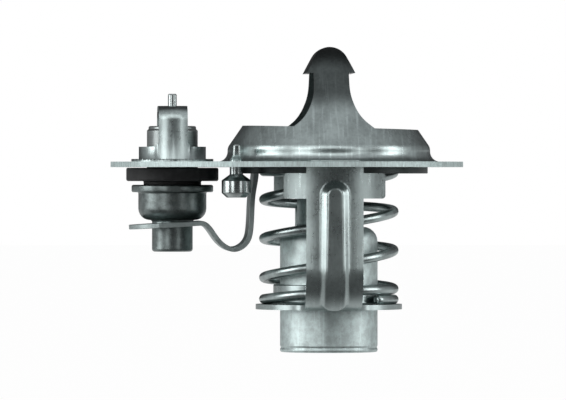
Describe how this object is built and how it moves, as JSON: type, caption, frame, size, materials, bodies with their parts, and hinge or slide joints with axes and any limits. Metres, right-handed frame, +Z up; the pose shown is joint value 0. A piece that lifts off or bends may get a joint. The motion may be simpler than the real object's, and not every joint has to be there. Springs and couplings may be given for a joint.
{
  "type": "engine thermostat",
  "caption": "Wax-element coolant valve: a round flange with a domed port and bridge, a coil spring in a ribbed frame, and a small pilot valve on a leaf spring.",
  "frame": {"origin": "centre of the flange, on its underside", "axes": "+Z up from the flange towards the bridge, +X from the flange's centre towards the main valve's axis, away from the pilot valve"},
  "size_m": [0.052, 0.052, 0.045],
  "materials": {
    "stamped_steel": "satin, rolled and pressed",
    "spring_strip": "satin",
    "spring_wire": "drawn, slightly dull",
    "ground_steel": "ground",
    "valve_steel": "pressed",
    "plated_shell": "tin plated, mottled",
    "dark_plated_cup": "dark plated",
    "plated_guide": "plated, turned",
    "bush_brass": "turned",
    "turned_pin": "bright turned",
    "black_rubber": "matte",
    "wax": "waxy, with metal powder"
  },
  "bodies": {
    "flange_assembly": {"flange_bridge": "stamped_steel", "lower_frame": "stamped_steel", "leaf_spring": "spring_strip", "main_spring": "spring_wire", "main_piston": "ground_steel", "pilot_bridge": "stamped_steel", "pilot_piston": "ground_steel"},
    "main_element": {"element_body": "plated_shell", "element_end_cap": "plated_shell", "element_wax": "wax", "element_boot": "black_rubber", "boot_washer": "stamped_steel", "guide_bush": "bush_brass", "guide_wiper": "black_rubber", "valve_disc": "valve_steel", "valve_seal": "black_rubber", "valve_clip": "stamped_steel"},
    "pilot_element": {"pilot_cup": "dark_plated_cup", "pilot_guide": "plated_guide", "pilot_valve": "black_rubber", "pilot_diaphragm": "black_rubber", "pilot_plug": "black_rubber", "pilot_wax": "wax"},
    "vent_pin": {"vent_pin": "turned_pin"}
  },
  "joints": [
    {"name": "main_valve_slide", "type": "slide", "parent": "flange_assembly", "child": "main_element", "axis": [0, 0, -1], "range_m": [0, 0.008], "stiffness_N_per_m": 2000, "deforming": ["main_spring", "leaf_spring"]},
    {"name": "pilot_valve_slide", "type": "slide", "parent": "flange_assembly", "child": "pilot_element", "axis": [0, 0, -1], "range_m": [0, 0.003], "stiffness_N_per_m": 500, "deforming": ["leaf_spring"]},
    {"name": "vent_pin_slide", "type": "slide", "parent": "flange_assembly", "child": "vent_pin", "axis": [0, 0, 1], "range_m": [0, 0.001]}
  ]
}
